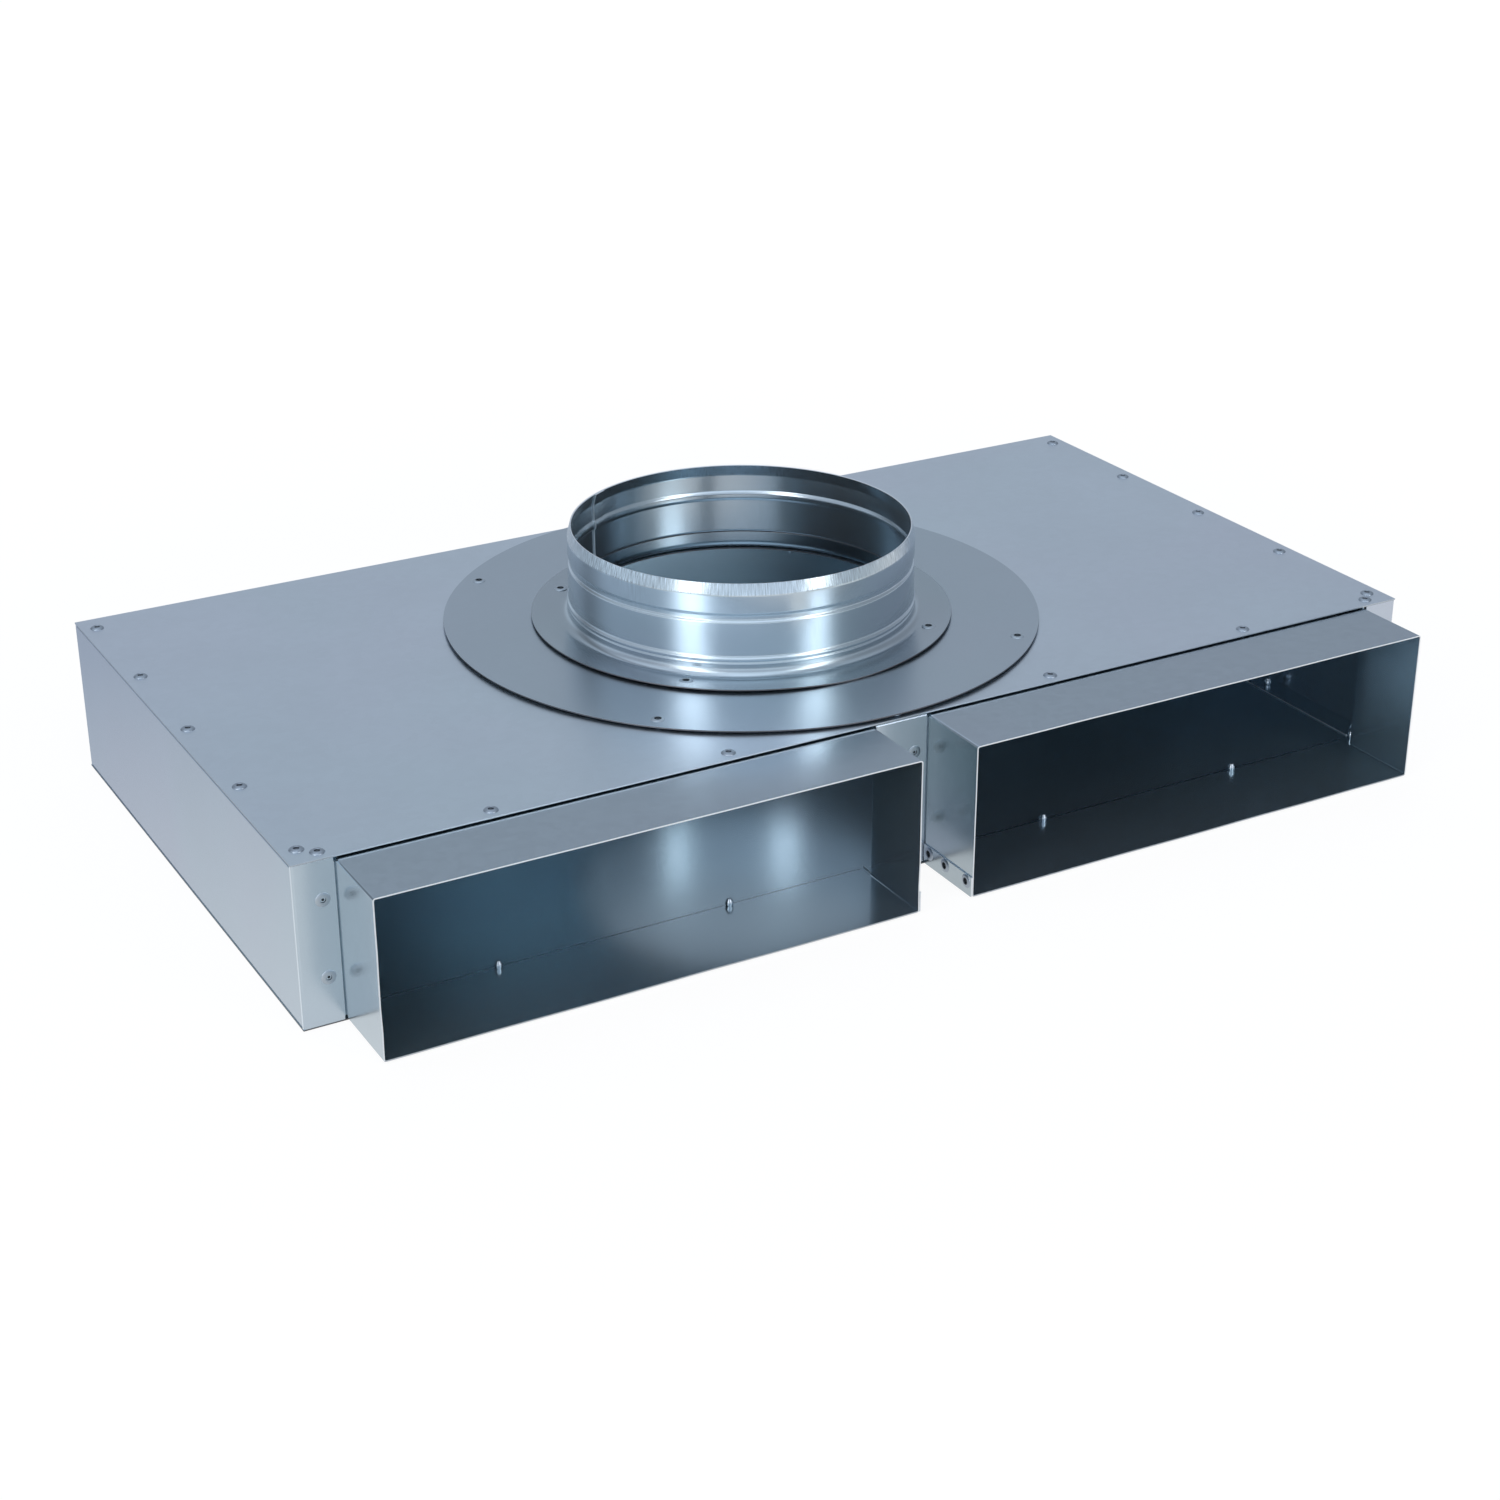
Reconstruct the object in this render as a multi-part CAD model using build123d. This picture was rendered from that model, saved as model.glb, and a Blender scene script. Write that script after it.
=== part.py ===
from build123d import *
import os
from math import atan2, cos, degrees, hypot, radians, sin

# Flat branch piece for ductwork: a shallow sheet-metal box with two
# rectangular spigots on its front and one round collar on its lid.
# Millimetres, +Z up. The origin is the centre of the underside of the
# bottom plate, and the spigots point along -Y.

# Sheet and folds
sheet = 0.8
fold = 1.6

# Box
box_width = 700.0
box_depth = 356.0
box_height = 93.0

# Riveting flanges of the walls, measured from the outside of the box
side_flange = 16.0
end_flange = 12.0
mitre_gap = 1.0
corner_relief = 2.4

# Rectangular spigots, between the strips at the ends of the front
front_strip = 23.0
sleeve_gap = 34.0
sleeve_reach = 48.0
sleeve_lip = 10.0
sleeve_lug = 16.0
sleeve_notch = 4.0
sleeve_headroom = 0.9
sleeve_clearance = 0.8
seam_lap = 12.0

# Back wall: ears that lap inside the side walls' rear returns
ear_notch = 4.0
ear_clearance = 2.0

# Disc on the lid, slightly dished so that its rim clears the lid
disc_diameter = 352.0
disc_dish = 1.4
disc_bore_clearance = 1.0
lid_bore_clearance = 3.0

# Ring under the collar, dished the same way, with its neck
flange_width = 22.5
flange_dish = 1.2
neck_height = 11.5
neck_bend = 6.0
neck_clearance = 0.1
seat_clearance = 0.05

# Round collar: a rolled bead at its foot, a pressed groove and a mouth that narrows
collar_diameter = 204.0
collar_height = 48.2
collar_lift = 7.5
foot_flare = 0.5
bead_height = 5.0
bead_swell = 1.1
groove_height = 27.9
groove_width = 6.4
groove_depth = 1.2
mouth_band = 0.7
mouth_taper = 6.0
mouth_reduction = 1.8
collar_lap = 9.0
collar_lap_angle = 120.0
lap_clearance = 2.0

# Blind rivets: only their heads stand proud of the sheet
rivet_head = 8.0
rivet_crown = 4.6
rivet_dome = 1.1
rivet_sides = 8

# Rivet rows along the sides and the front of the lid and the bottom plate
side_inset = 9.0
side_end_inset = 15.0
side_steps = 2
front_inset = 7.7
corner_rivet_inset = 17.0
outer_rivet_share = 0.686
inner_rivet_share = 0.295

# Rivets on the front strips, the back corners, the round pieces and the seams
strip_rivet_inset = 8.5
strip_rivet_heights = (27.0, 70.5)
disc_rivet_inset = 10.0
flange_rivet_inset = 11.0
ring_rivet_angles = (45, 135, 225, 315)
seam_rivet_height = 8.0
seam_rivet_reaches = (6.0, 22.0, 43.0)

# Sizes that follow from the ones above
half_width = box_width / 2
half_depth = box_depth / 2
front_face = -half_depth
mouth_face = front_face - sleeve_reach
wall_bottom = sheet
wall_top = box_height - sheet
wall_height = wall_top - wall_bottom
wall_middle = (wall_top + wall_bottom) / 2
sleeve_bottom = wall_bottom
sleeve_top = wall_top - sleeve_headroom
sleeve_height = sleeve_top - sleeve_bottom
sleeve_near_side = sleeve_gap / 2
sleeve_far_side = half_width - front_strip
sleeve_width = sleeve_far_side - sleeve_near_side
return_edge = sleeve_far_side + sleeve_clearance
post_edge = sleeve_near_side - sleeve_clearance
lap_face = sleeve_near_side - sheet
neck_radius = collar_diameter / 2 - sheet - neck_clearance - sheet / 2
neck_top = box_height + sheet + neck_height
collar_foot = box_height + sheet + collar_lift
collar_rim = collar_foot + collar_height
disc_bore = collar_diameter + 2 * disc_bore_clearance
lid_bore = collar_diameter + 2 * lid_bore_clearance
flange_diameter = collar_diameter + 2 * flange_width
side_pitch = (half_depth - side_end_inset) / side_steps


def box_between(low, high):
    """Box from its lowest corner to its highest."""
    size = [b - a for a, b in zip(low, high)]
    middle = [(a + b) / 2 for a, b in zip(low, high)]
    return Pos(*middle) * Box(*size)


def bent_section(points, bend, plane):
    """Sheet section whose centre line has rounded folds."""
    return plane * trace(FilletPolyline(*points, radius=bend), sheet)


def pressed_section(points, plane):
    """Sheet section whose centre line follows the points as they are."""
    return plane * trace(Polyline(*points), sheet)


def on_slope(radius, low, high):
    """Height at a radius of the straight line between two (radius, height) points."""
    share = (radius - low[0]) / (high[0] - low[0])
    return low[1] + share * (high[1] - low[1])


# Flat plates

def bottom_plate():
    return box_between((-half_width, -half_depth, 0), (half_width, half_depth, sheet))


def top_plate():
    low = (-half_width, -half_depth, wall_top)
    plate = box_between(low, (half_width, half_depth, box_height))
    return plate - Pos(0, 0, box_height) * Cylinder(lid_bore / 2, 4 * sheet)


# Walls: the side walls and the centre post are cut from one folded shell

def wall_shell():
    outer = Box(box_width, box_depth, wall_height)
    outer = fillet(outer.edges(), fold)
    inner = Box(box_width - 2 * sheet, box_depth - 2 * sheet, wall_height - 2 * sheet)
    inner = fillet(inner.edges(), fold - sheet)
    shell = outer - inner
    shell -= Box(box_width - 2 * side_flange, box_depth - 2 * end_flange, 2 * wall_height)
    slot_length = 2 * (hypot(side_flange, end_flange) + 2 * mitre_gap)
    slot_angle = degrees(atan2(end_flange, side_flange))
    for x in (-1, 1):
        for y in (-1, 1):
            slot = Rot(0, 0, x * y * slot_angle) * Box(slot_length, mitre_gap, 2 * corner_relief)
            relief = Box(2 * corner_relief, 2 * corner_relief, 2 * corner_relief)
            for z in (-1, 1):
                corner = Pos(x * half_width, y * half_depth, z * wall_height / 2)
                shell -= corner * (slot + relief)
    return Pos(0, 0, wall_middle) * shell


def left_wall(shell):
    low = (-half_width, -half_depth, wall_bottom)
    return shell & box_between(low, (-return_edge, half_depth, wall_top))


def centre_post(shell):
    low = (-post_edge, -half_depth, wall_bottom)
    return shell & box_between(low, (post_edge, 0, wall_top))


def back_wall():
    panel_y = half_depth - sheet - sheet / 2
    flange_y = half_depth - end_flange
    low = wall_bottom + sheet / 2
    high = wall_top - sheet / 2
    points = [(flange_y, low), (panel_y, low), (panel_y, high), (flange_y, high)]
    section = bent_section(points, fold - sheet / 2, Plane.YZ)
    wall = extrude(section, return_edge, both=True)
    ear_reach = half_width - sheet - ear_clearance
    return wall + box_between(
        (-ear_reach, half_depth - 2 * sheet, wall_bottom + ear_notch),
        (ear_reach, half_depth - sheet, wall_top - ear_notch),
    )


# Rectangular spigots

def right_sleeve():
    centre_x = (sleeve_near_side + sleeve_far_side) / 2
    centre_z = (sleeve_bottom + sleeve_top) / 2
    lip_end = front_face + sleeve_lip
    profile = RectangleRounded(sleeve_width, sleeve_height, fold)
    profile -= RectangleRounded(sleeve_width - 2 * sheet, sleeve_height - 2 * sheet, fold - sheet)
    mouth = Plane((centre_x, mouth_face, centre_z), x_dir=(1, 0, 0), z_dir=(0, 1, 0))
    sleeve = extrude(mouth * profile, lip_end - mouth_face)
    # Past the front face the top and bottom run on as lips, and each side is
    # folded outwards as a lug behind the strip of the wall beside it
    lug_y = front_face + sheet + sheet / 2
    side_end = lug_y + sheet / 2 - fold
    for edge, outwards in ((sleeve_near_side, -1), (sleeve_far_side, 1)):
        side_x = edge - outwards * sheet / 2
        low_x, high_x = sorted((edge + outwards, edge - outwards * sleeve_notch))
        sleeve -= box_between((low_x, side_end, 0), (high_x, lip_end, box_height))
        points = [(side_x, side_end - fold), (side_x, lug_y), (edge + outwards * sleeve_lug, lug_y)]
        lug = extrude(bent_section(points, fold - sheet / 2, Plane.XY), sleeve_height - 2 * sleeve_notch)
        sleeve += Pos(0, 0, sleeve_bottom + sleeve_notch) * lug
    # Seam: the floor is turned up outside the side next to the gap
    return sleeve + box_between(
        (lap_face, mouth_face, sleeve_bottom),
        (sleeve_near_side, front_face - sleeve_clearance, sleeve_bottom + seam_lap),
    )


# Round pieces, each from its centre line as (radius, height)

disc_inner = (disc_bore / 2, box_height + sheet / 2)
disc_outer = (disc_diameter / 2, disc_inner[1] + disc_dish)
flange_outer_radius = flange_diameter / 2
flange_inner_radius = neck_radius + neck_bend


def above_disc(radius):
    """Height of the flange's centre line where it lies on the disc."""
    return on_slope(radius, disc_inner, disc_outer) + sheet + seat_clearance


flange_inner = (flange_inner_radius, above_disc(flange_inner_radius))
flange_outer = (flange_outer_radius, above_disc(flange_outer_radius) + flange_dish)


def cover_disc():
    return revolve(pressed_section([disc_inner, disc_outer], Plane.XZ), Axis.Z)


def collar_flange():
    points = [
        flange_outer,
        flange_inner,
        (neck_radius, flange_inner[1] + neck_bend),
        (neck_radius, neck_top),
    ]
    return revolve(pressed_section(points, Plane.XZ), Axis.Z)


def collar_line(shift=0.0):
    """Centre line of the collar above its foot bead."""
    wall = collar_diameter / 2 - sheet / 2 - shift
    groove = collar_foot + groove_height
    band = collar_rim - mouth_band
    return [
        (wall, groove - groove_width / 2),
        (wall - groove_depth, groove),
        (wall, groove + groove_width / 2),
        (wall, band - mouth_taper),
        (wall - mouth_reduction, band),
        (wall - mouth_reduction, collar_rim),
    ]


def collar():
    wall = collar_diameter / 2 - sheet / 2
    foot = [
        (wall + foot_flare, collar_foot),
        (wall + bead_swell, collar_foot + bead_height / 2),
        (wall, collar_foot + bead_height),
    ]
    tube = revolve(pressed_section(foot + collar_line(), Plane.XZ), Axis.Z)
    # Rolled from a strip: its ends overlap inside, above the neck
    lap_angle = degrees(collar_lap / wall)
    lap_start = (wall - sheet, neck_top + lap_clearance)
    section = pressed_section([lap_start] + collar_line(shift=sheet), Plane.XZ)
    lap = revolve(section, Axis.Z, lap_angle)
    return tube + Rot(0, 0, collar_lap_angle - lap_angle / 2) * lap


# Blind rivets

def rivet():
    """Domed head, standing on the sheet at z = 0."""
    inwards = (rivet_head - rivet_crown) / 2 * cos(radians(180 / rivet_sides))
    dome_taper = degrees(atan2(inwards, rivet_dome))
    return extrude(RegularPolygon(rivet_head / 2, rivet_sides), rivet_dome, taper=dome_taper)


def rivet_row(places, direction):
    head = rivet()
    return Compound(children=[Plane(origin=place, z_dir=direction) * head for place in places])


def side_places(side, height):
    x = side * (half_width - side_inset)
    return [(x, step * side_pitch, height) for step in range(-side_steps, side_steps + 1)]


def front_places(height):
    y = front_face + front_inset
    reaches = [share * half_width for share in (inner_rivet_share, outer_rivet_share)]
    reaches.append(half_width - corner_rivet_inset)
    xs = sorted([0.0] + [sign * reach for reach in reaches for sign in (-1, 1)])
    return [(x, y, height) for x in xs]


def strip_places(xs, y):
    return [(x, y, z) for x in xs for z in strip_rivet_heights]


def seam_places(side):
    z = sleeve_bottom + seam_rivet_height
    return [(side * lap_face, front_face - reach, z) for reach in seam_rivet_reaches]


def dished_rivets(inset, low, high):
    """Rivets inside the rim of a dished ring, square to its slope."""
    radius = high[0] - inset
    slope = atan2(high[1] - low[1], high[0] - low[0])
    lift = sheet / 2 + seat_clearance
    head = rivet()
    rivets = []
    for angle in ring_rivet_angles:
        turn = radians(angle)
        reach = radius - sin(slope) * lift
        height = on_slope(radius, low, high) + cos(slope) * lift
        place = (reach * cos(turn), reach * sin(turn), height)
        normal = (-sin(slope) * cos(turn), -sin(slope) * sin(turn), cos(slope))
        rivets.append(Plane(origin=place, z_dir=normal) * head)
    return Compound(children=rivets)


def rivet_rows():
    up, down, forward, backward = (0, 0, 1), (0, 0, -1), (0, -1, 0), (0, 1, 0)
    strip_x = sleeve_far_side + strip_rivet_inset - sleeve_clearance
    post_x = sleeve_near_side - strip_rivet_inset
    return {
        "lid_rivets_left": rivet_row(side_places(-1, box_height), up),
        "lid_rivets_right": rivet_row(side_places(1, box_height), up),
        "lid_rivets_front": rivet_row(front_places(box_height), up),
        "base_rivets_left": rivet_row(side_places(-1, 0), down),
        "base_rivets_right": rivet_row(side_places(1, 0), down),
        "base_rivets_front": rivet_row(front_places(0), down),
        "strip_rivets_left": rivet_row(strip_places([-strip_x], front_face), forward),
        "strip_rivets_right": rivet_row(strip_places([strip_x], front_face), forward),
        "post_rivets": rivet_row(strip_places([-post_x, post_x], front_face), forward),
        "back_rivets_left": rivet_row(strip_places([-strip_x], half_depth), backward),
        "back_rivets_right": rivet_row(strip_places([strip_x], half_depth), backward),
        "seam_rivets_left": rivet_row(seam_places(-1), (1, 0, 0)),
        "seam_rivets_right": rivet_row(seam_places(1), (-1, 0, 0)),
        "disc_rivets": dished_rivets(disc_rivet_inset, disc_inner, disc_outer),
        "flange_rivets": dished_rivets(flange_rivet_inset, flange_inner, flange_outer),
    }


def main():
    os.makedirs("parts", exist_ok=True)
    shell = wall_shell()
    left = left_wall(shell)
    sleeve = right_sleeve()
    pieces = {
        "bottom_plate": bottom_plate(),
        "top_plate": top_plate(),
        "left_wall": left,
        "right_wall": mirror(left, about=Plane.YZ),
        "back_wall": back_wall(),
        "centre_post": centre_post(shell),
        "left_sleeve": mirror(sleeve, about=Plane.YZ),
        "right_sleeve": sleeve,
        "cover_disc": cover_disc(),
        "collar_flange": collar_flange(),
        "collar": collar(),
    }
    pieces.update(rivet_rows())
    for name, piece in pieces.items():
        export_step(piece, f"parts/{name}.step")


main()
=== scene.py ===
import bpy
import bmesh
from math import atan2, cos, degrees, exp, hypot, pi, radians, sin
from mathutils import Matrix, Vector, noise


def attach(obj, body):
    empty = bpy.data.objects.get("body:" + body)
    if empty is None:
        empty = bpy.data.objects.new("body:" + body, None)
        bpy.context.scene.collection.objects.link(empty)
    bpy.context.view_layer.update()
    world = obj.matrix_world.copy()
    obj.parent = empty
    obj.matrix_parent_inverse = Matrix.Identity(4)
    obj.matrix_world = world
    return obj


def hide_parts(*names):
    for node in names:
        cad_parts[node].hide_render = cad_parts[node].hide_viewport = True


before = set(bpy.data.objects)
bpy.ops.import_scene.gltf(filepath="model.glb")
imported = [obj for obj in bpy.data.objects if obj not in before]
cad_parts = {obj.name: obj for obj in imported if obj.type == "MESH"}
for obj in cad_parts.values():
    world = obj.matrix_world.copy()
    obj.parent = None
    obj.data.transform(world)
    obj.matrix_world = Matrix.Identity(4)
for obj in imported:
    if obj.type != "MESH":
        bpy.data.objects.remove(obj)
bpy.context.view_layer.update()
print("frame loaded,", len(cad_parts), "nodes")

# Sizes below are millimetres in the frame of the part, unless a name says otherwise
mm = 0.001


# camera

cameraView = {
    "azimuth": -29.405,      # degrees round from the front
    "elevation": 25.094,
    "roll": -0.121,
    "place": (-0.71798, -1.28418, 0.69039),   # metres
    "lens": 64.05,
}


def makeCamera(v):
    data = bpy.data.cameras.new("camera")
    data.lens = v["lens"]
    data.sensor_width = 36
    data.clip_end = 100
    camera = bpy.data.objects.new("camera", data)
    turn = (Matrix.Rotation(radians(v["azimuth"]), 4, "Z")
            @ Matrix.Rotation(radians(90 - v["elevation"]), 4, "X")
            @ Matrix.Rotation(radians(v["roll"]), 4, "Z"))
    camera.matrix_world = Matrix.Translation(v["place"]) @ turn
    bpy.context.scene.collection.objects.link(camera)
    bpy.context.scene.camera = camera


# node helpers

def addNode(tree, kind, sockets=None, **settings):
    made = tree.nodes.new("ShaderNode" + kind)
    for key, value in settings.items():
        setattr(made, key, value)
    for key, value in (sockets or {}).items():
        if isinstance(value, bpy.types.NodeSocket):
            tree.links.new(value, made.inputs[key])
        else:
            made.inputs[key].default_value = value
    return made


def math(tree, operation, a, b=None, clamp=False):
    sockets = {0: a} if b is None else {0: a, 1: b}
    return addNode(tree, "Math", sockets, operation=operation, use_clamp=clamp).outputs[0]


def newGroup(name, inputs, outputs):
    group = bpy.data.node_groups.new(name, "ShaderNodeTree")
    for label, kind, value in inputs:
        socket = group.interface.new_socket(name=label, in_out="INPUT", socket_type="NodeSocket" + kind)
        if value is not None:
            socket.default_value = value
    for label, kind in outputs:
        group.interface.new_socket(name=label, in_out="OUTPUT", socket_type="NodeSocket" + kind)
    return group, group.nodes.new("NodeGroupInput"), group.nodes.new("NodeGroupOutput")


# light and background

studio = {
    "skyColour": (0.79, 0.89, 1.02),
    # brightness of the sky from the horizon, 0, to overhead, 1: a dim band about 25 degrees up
    "skyRamp": ((0.0, 0.80), (0.12, 0.66), (0.32, 0.47), (0.52, 0.47), (0.75, 0.78), (1.0, 0.95)),
    # the same round the horizon, as a share of a turn from +X: bright in front, dim to the right
    "skyRound": ((0.0, 0.78), (0.06, 0.80), (0.15, 1.0), (0.28, 1.05), (0.335, 0.42), (0.40, 1.27),
                 (0.49, 1.15), (0.66, 1.6), (0.76, 1.5), (0.84, 0.82), (0.90, 0.72), (1.0, 0.78)),
    # both lamps face the part; angles in degrees, sizes in metres, power in watts
    "leftLamp": {"azimuth": 208.5, "elevation": 27, "distance": 3.0,
                 "width": 0.9, "height": 2.3, "power": 17},
    "rightLamp": {"azimuth": 290.3, "elevation": 27, "distance": 3.0,
                  "width": 0.8, "height": 2.3, "power": 16},
    "floorSize": 14.0,
    "floorColour": (0.93, 0.93, 0.93, 1),
    "floorLift": (0.90, 1.0),      # share of plain white in the floor, near the part and far off
    "liftReach": (0.5, 1.4),       # metres from the middle over which that share grows
    "shineFade": (-0.25, 0.35),    # metres along Y over which the floor's shine turns
    "floorShineFront": (0.86, 0.86, 0.86, 1),    # what reflections show of the floor
    "floorShineBack": (0.44, 0.50, 0.58, 1),
    "floorShown": (1.03, 1.03, 1.03, 1),         # what the camera sees, before the shadow is laid over it
    "floorZ": -1.1,
}


def fillRamp(ramp, stops):
    top = max(value for _, value in stops)
    elements = ramp.color_ramp.elements
    ramp.color_ramp.interpolation = "EASE"
    for number, (place, value) in enumerate(stops):
        if number >= len(elements):
            elements.new(place)
    for element, (place, value) in zip(elements, stops):
        element.position = place
        element.color = (value / top, value / top, value / top, 1)
    return top


def makeWorld(v):
    world = bpy.data.worlds.new("studio")
    bpy.context.scene.world = world
    world.use_nodes = True
    tree = world.node_tree
    tree.nodes.clear()
    path = addNode(tree, "LightPath").outputs["Is Camera Ray"]
    way = addNode(tree, "SeparateXYZ", {0: addNode(tree, "TexCoord").outputs["Generated"]})
    height = addNode(tree, "ValToRGB", {"Fac": way.outputs["Z"]})
    turn = math(tree, "DIVIDE", math(tree, "ARCTAN2", way.outputs["Y"], way.outputs["X"]), 2 * pi)
    around = addNode(tree, "ValToRGB", {"Fac": math(tree, "FRACT", math(tree, "ADD", turn, 1.0))})
    scale = fillRamp(height, v["skyRamp"]) * fillRamp(around, v["skyRound"])
    both = math(tree, "MULTIPLY", height.outputs["Color"], around.outputs["Color"])
    strength = math(tree, "MULTIPLY", both, scale)
    sky = addNode(tree, "Background", {"Color": (*v["skyColour"], 1), "Strength": strength})
    white = addNode(tree, "Background", {"Color": (1, 1, 1, 1), "Strength": 1.0})
    mixed = addNode(tree, "MixShader", {0: path, 1: sky.outputs[0], 2: white.outputs[0]})
    addNode(tree, "OutputWorld", {"Surface": mixed.outputs[0]})


def makeLamp(name, v):
    data = bpy.data.lights.new(name, "AREA")
    data.shape = "RECTANGLE"
    data.size = v["width"]
    data.size_y = v["height"]
    data.energy = v["power"]
    lamp = bpy.data.objects.new(name, data)
    a, e = radians(v["azimuth"]), radians(v["elevation"])
    away = Vector((cos(a) * cos(e), sin(a) * cos(e), sin(e)))
    lamp.location = away * v["distance"]
    lamp.rotation_euler = away.to_track_quat("Z", "Y").to_euler()
    bpy.context.scene.collection.objects.link(lamp)


def makeFloor(v):
    bm = bmesh.new()
    bmesh.ops.create_grid(bm, x_segments=1, y_segments=1, size=v["floorSize"] / 2)
    bmesh.ops.translate(bm, vec=(0, 0, v["floorZ"] * mm), verts=bm.verts)
    mesh = bpy.data.meshes.new("floor")
    bm.to_mesh(mesh)
    bm.free()
    material = bpy.data.materials.new("floorWhite")
    material.use_nodes = True
    tree = material.node_tree
    tree.nodes.clear()
    path = addNode(tree, "LightPath")
    seen = math(tree, "MAXIMUM", path.outputs["Is Camera Ray"], path.outputs["Is Glossy Ray"])
    place = addNode(tree, "TexCoord").outputs["Object"]
    reach = addNode(tree, "VectorMath", {0: place}, operation="LENGTH").outputs["Value"]
    lift = addNode(tree, "MapRange", {"Value": reach,
                                      "From Min": v["liftReach"][0], "From Max": v["liftReach"][1],
                                      "To Min": v["floorLift"][0], "To Max": v["floorLift"][1]})
    share = math(tree, "MULTIPLY", seen, lift.outputs[0])
    fade = addNode(tree, "MapRange", {"Value": addNode(tree, "SeparateXYZ", {0: place}).outputs["Y"],
                                      "From Min": v["shineFade"][0], "From Max": v["shineFade"][1]})
    shine = addNode(tree, "Mix", {0: fade.outputs[0], 6: v["floorShineFront"], 7: v["floorShineBack"]},
                    data_type="RGBA")
    shown = addNode(tree, "Mix", {0: path.outputs["Is Camera Ray"], 6: shine.outputs[2], 7: v["floorShown"]},
                    data_type="RGBA")
    paint = addNode(tree, "BsdfDiffuse", {"Color": v["floorColour"]})
    white = addNode(tree, "Emission", {"Color": shown.outputs[2], "Strength": 1.0})
    mixed = addNode(tree, "MixShader", {0: share, 1: paint.outputs[0], 2: white.outputs[0]})
    addNode(tree, "OutputMaterial", {"Surface": mixed.outputs[0]})
    mesh.materials.append(material)
    floor = bpy.data.objects.new("floor", mesh)
    bpy.context.scene.collection.objects.link(floor)


makeCamera(cameraView)
makeWorld(studio)
makeLamp("leftLamp", studio["leftLamp"])
makeLamp("rightLamp", studio["rightLamp"])
makeFloor(studio)
bpy.context.scene.view_settings.view_transform = "Standard"
print("camera, lamps and floor are up")


# finishes

skinPattern = {
    # scales per metre
    "spangle": 210.0, "rolling": (9.0, 700.0, 700.0), "smudges": 11.0, "grain": 1400.0, "tint": 4.2,
    "grainSwing": 0.05,
    "roughShare": 0.6,       # how much of the tone's swing goes into the roughness
    "spangleHeight": 2.0,
}
scratchPattern = {
    "perTurn": 90.0, "perHeight": 60.0, "lines": 1.6, "area": 16.0,
    "bandEdge": 0.0006,      # metres over which the handled band sets in
    "handled": (0.3, 0.55), "faint": (0.52, 0.7), "faintMost": 0.3,
}
relief = {
    "strength": 0.5, "depth": 0.00002, "waveDepth": 0.001,
    "waveScale": 7.0, "scratchHeight": 0.06,
}


def zincSkinGroup(v):
    group, given, out = newGroup("zincSkin", [
        ("Vector", "Vector", None),
        ("Tone", "Color", (0.4, 0.46, 0.56, 1)),
        ("Spangle", "Float", 0.05),
        ("Rolling", "Float", 0.05),
        ("Smudges", "Float", 0.05),
        ("Tint", "Float", 0.03),
        ("Roughness", "Float", 0.3),
    ], [("Color", "Color"), ("Roughness", "Float"), ("Height", "Float")])
    place = given.outputs["Vector"]
    cell = addNode(group, "TexVoronoi", {"Vector": place, "Scale": v["spangle"]}, feature="F1")
    cellTone = addNode(group, "SeparateColor", {"Color": cell.outputs["Color"]}).outputs[0]
    stretched = addNode(group, "Mapping", {"Vector": place, "Scale": v["rolling"]})
    lines = addNode(group, "TexNoise", {"Vector": stretched.outputs[0], "Scale": 1.0, "Detail": 3.0})
    cloud = addNode(group, "TexNoise", {"Vector": place, "Scale": v["smudges"], "Detail": 5.0,
                                        "Distortion": 0.5})
    grain = addNode(group, "TexNoise", {"Vector": place, "Scale": v["grain"], "Detail": 1.0})

    def swing(value, size):
        return math(group, "MULTIPLY", math(group, "SUBTRACT", value, 0.5), size)

    spangle = swing(cellTone, given.outputs["Spangle"])
    rolling = swing(lines.outputs["Fac"], given.outputs["Rolling"])
    smudge = swing(cloud.outputs["Fac"], given.outputs["Smudges"])
    fine = swing(grain.outputs["Fac"], v["grainSwing"])
    broad = math(group, "ADD", spangle, smudge)
    level = math(group, "ADD", math(group, "ADD", broad, 1.0), math(group, "ADD", rolling, fine))
    toned = addNode(group, "VectorMath", {0: given.outputs["Tone"], "Scale": level}, operation="SCALE")
    # wide patches lean a little to violet or to green, as rolled zinc does
    patch = addNode(group, "TexNoise", {"Vector": place, "Scale": v["tint"], "Detail": 2.0,
                                        "Distortion": 0.8})
    lean = swing(patch.outputs["Fac"], given.outputs["Tint"])
    tint = addNode(group, "CombineXYZ", {0: math(group, "ADD", 1.0, lean),
                                         1: math(group, "SUBTRACT", 1.0, lean), 2: 1.0})
    leaning = addNode(group, "VectorMath", {0: toned.outputs[0], 1: tint.outputs[0]}, operation="MULTIPLY")
    group.links.new(leaning.outputs[0], out.inputs["Color"])
    rough = math(group, "ADD", given.outputs["Roughness"], math(group, "MULTIPLY", broad, v["roughShare"]))
    group.links.new(rough, out.inputs["Roughness"])
    raised = math(group, "MULTIPLY", spangle, v["spangleHeight"])
    group.links.new(math(group, "ADD", raised, rolling), out.inputs["Height"])
    return group


def sheetWaveGroup(v):
    group, given, out = newGroup("sheetWave", [
        ("Vector", "Vector", None),
        ("Scale", "Float", v["waveScale"]),
    ], [("Height", "Float")])
    wave = addNode(group, "TexNoise", {"Vector": given.outputs["Vector"], "Scale": given.outputs["Scale"],
                                       "Detail": 1.0})
    group.links.new(wave.outputs["Fac"], out.inputs["Height"])
    return group


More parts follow.
